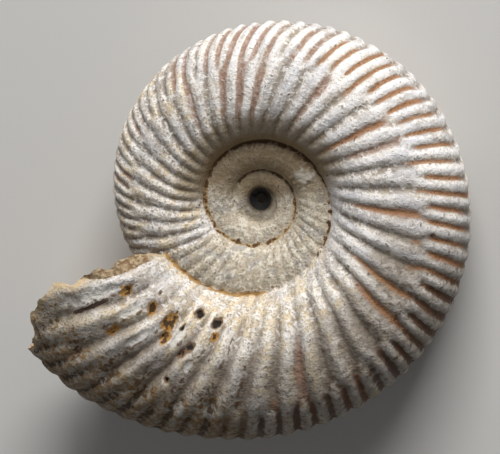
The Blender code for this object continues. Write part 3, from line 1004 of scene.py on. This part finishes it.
def stone_material():
    """Limy mudstone that set inside the shell and broke with it.

    A broken face of such stone is dull and crumbly, so the eye sees tan and brown grains and no highlight.
    """
    material = bpy.data.materials.new("limy_mudstone")
    material.use_nodes = True
    tree = material.node_tree
    shader = tree.nodes["Principled BSDF"]
    shader.inputs["Roughness"].default_value = 0.95
    place = add(tree, "ShaderNodeTexCoord").outputs["Object"]
    grain = {"Vector": place, "Scale": 1.0 / (STONE_GRAIN * MM), "Detail": 4.0}
    grain = add(tree, "ShaderNodeTexNoise", grain)
    mask = {"Value": grain.outputs["Fac"], "From Min": 0.4, "From Max": 0.62}
    mask = add(tree, "ShaderNodeMapRange", mask, interpolation_type="SMOOTHSTEP")
    inputs = {"Factor": mask.outputs[0], COLOUR_BELOW: linear("#977b5b"), COLOUR_ABOVE: linear("#cdb592")}
    colour = add(tree, "ShaderNodeMix", inputs, data_type="RGBA")
    tree.links.new(colour.outputs[COLOUR_OUT], shader.inputs["Base Color"])
    bump = {"Height": grain.outputs["Fac"], "Strength": 1.0, "Distance": STONE_BUMP * MM}
    tree.links.new(add(tree, "ShaderNodeBump", bump).outputs["Normal"], shader.inputs["Normal"])
    return material


def floor_material(settings):
    """Matt painted board: one even pale tone, so rough that the eye sees no reflection in it."""
    material = bpy.data.materials.new("matt_painted_board")
    material.use_nodes = True
    shader = material.node_tree.nodes["Principled BSDF"]
    shader.inputs["Base Color"].default_value = tuple(settings.floor_colour) + (1.0,)
    shader.inputs["Roughness"].default_value = 0.9
    return material


def make_object(name, points, triangles):
    """Mesh object at the origin, linked to the scene."""
    mesh = bpy.data.meshes.new(name)
    mesh.from_pydata(points, [], triangles)
    mesh.update()
    made = bpy.data.objects.new(name, mesh)
    bpy.context.scene.collection.objects.link(made)
    return made


class AmmoniteSettings(PropertyGroup):
    """Sizes and colours of the fossil and its stage."""

    rib_depth: FloatProperty(
        name="Rib depth",
        description="Height of the strong ribs above their grooves on the inner flank",
        default=0.32 * MM,
        unit="LENGTH",
    )
    fine_rib_depth: FloatProperty(
        name="Fine rib depth",
        description="Height of the finer ribs past the fork and across the venter",
        default=0.22 * MM,
        unit="LENGTH",
    )
    lump_height: FloatProperty(
        name="Lump height",
        description="Height of the uneven swellings of the weathered surface",
        default=0.05 * MM,
        unit="LENGTH",
    )
    crest_colour: FloatVectorProperty(
        name="Crest colour",
        description="Cream of the clean calcite on the crests of the ribs",
        subtype="COLOR",
        default=linear("#e4dcd0")[:3],
    )
    floor_colour: FloatVectorProperty(
        name="Floor colour",
        description="Pale tone of the floor",
        subtype="COLOR",
        default=linear("#d3d1cd")[:3],
    )
    key_power: FloatProperty(
        name="Key light power",
        description="Power of the large soft light beyond the top of the coil",
        default=1.31,
        unit="POWER",
    )
    fill_power: FloatProperty(
        name="Fill light power",
        description="Power of the weak light on the camera's side",
        default=0.06,
        unit="POWER",
    )
    camera_distance: FloatProperty(
        name="Camera distance",
        description="From the camera to the middle of the coil",
        default=160.0 * MM,
        unit="LENGTH",
    )


class AMMONITE_OT_shell(Operator):
    """Adds the fossil shell with its stone filling, in place of the CAD solid"""

    bl_idname = "ammonite.shell"
    bl_label = "Add shell"

    def execute(self, context):
        settings = context.scene.ammonite
        skin = Skin()
        upper = add_side(skin, 1, settings)
        lower = add_side(skin, -1, settings)
        add_hole_wall(skin, upper, lower)
        points, fields, triangles, stone = skin.welded()
        a, b, c = points[triangles].transpose(1, 0, 2)
        if np.einsum("ij,ij->", a, np.cross(b, c)) < 0.0:
            triangles = triangles[:, ::-1]
        piece = make_object(PIECE, laid_down(points), triangles)
        mesh = piece.data
        for name, values in fields.items():
            mesh.attributes.new(name, "FLOAT", "POINT").data.foreach_set("value", values.astype(np.float32))
        mesh.materials.append(calcite_material(settings))
        mesh.materials.append(stone_material())
        mesh.polygons.foreach_set("material_index", stone.astype(np.int32))
        mesh.shade_smooth()
        mesh.set_sharp_from_angle(angle=SHARP_ANGLE)
        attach(piece, "root")
        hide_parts(NODE)
        return {"FINISHED"}


def area_light(name, towards, size, power):
    """Square area light that stands in a direction from the coil and faces it."""
    light = bpy.data.lights.new(name, "AREA")
    light.size = size
    light.energy = power
    made = bpy.data.objects.new(name, light)
    made.location = Vector(towards).normalized() * LIGHT_DISTANCE
    made.rotation_euler = Vector(towards).to_track_quat("Z", "Y").to_euler()
    bpy.context.scene.collection.objects.link(made)


class AMMONITE_OT_stage(Operator):
    """Adds the pale floor, the soft lights and the camera"""

    bl_idname = "ammonite.stage"
    bl_label = "Add floor, lights and camera"

    def execute(self, context):
        settings = context.scene.ammonite
        half = FLOOR_HALF
        corners = [(-half, -half, 0.0), (half, -half, 0.0), (half, half, 0.0), (-half, half, 0.0)]
        floor = make_object("floor", corners, [(0, 1, 2, 3)])
        floor.data.materials.append(floor_material(settings))

        area_light("key_light", KEY_DIRECTION, KEY_SIZE, settings.key_power)
        area_light("fill_light", FILL_DIRECTION, FILL_SIZE, settings.fill_power)
        world = bpy.data.worlds.new("studio")
        world.use_nodes = True
        background = world.node_tree.nodes["Background"]
        background.inputs["Color"].default_value = linear(WORLD_COLOUR)
        background.inputs["Strength"].default_value = WORLD_STRENGTH
        context.scene.world = world
        context.scene.view_settings.view_transform = "Standard"

        axes = tipped(REST_LEAN, REST_LEAN_DIRECTION) @ tipped(VIEW_TILT, VIEW_DIRECTION).transposed()
        camera = bpy.data.cameras.new("camera")
        camera.sensor_width = SENSOR_WIDTH
        camera.lens = LENS
        camera.clip_start = CLIP_START
        right, up = VIEW_OFFSET
        offset = Vector((right * PIXEL, up * PIXEL, settings.camera_distance))
        made = bpy.data.objects.new("camera", camera)
        made.matrix_world = Matrix.Translation(Vector(COIL_CENTRE) + axes @ offset) @ axes.to_4x4()
        context.scene.collection.objects.link(made)
        context.scene.camera = made
        return {"FINISHED"}


class AMMONITE_PT_panel(Panel):
    """Lists the pieces and their settings"""

    bl_label = "Ammonite"
    bl_idname = "AMMONITE_PT_panel"
    bl_space_type = "VIEW_3D"
    bl_region_type = "UI"
    bl_category = "Ammonite"

    def draw(self, context):
        layout = self.layout
        for name in AmmoniteSettings.__annotations__:
            layout.prop(context.scene.ammonite, name)
        for operator in (AMMONITE_OT_shell, AMMONITE_OT_stage):
            layout.operator(operator.bl_idname)


CLASSES = (AmmoniteSettings, AMMONITE_OT_shell, AMMONITE_OT_stage, AMMONITE_PT_panel)


def register():
    """Registers the classes and hangs the settings on the scene."""
    for item in CLASSES:
        bpy.utils.register_class(item)
    bpy.types.Scene.ammonite = PointerProperty(type=AmmoniteSettings)


def unregister():
    """Undoes register."""
    del bpy.types.Scene.ammonite
    for item in reversed(CLASSES):
        bpy.utils.unregister_class(item)


def main():
    """Makes the shell and its stage."""
    register()
    bpy.ops.ammonite.shell()
    bpy.ops.ammonite.stage()


if __name__ == "__main__":
    main()
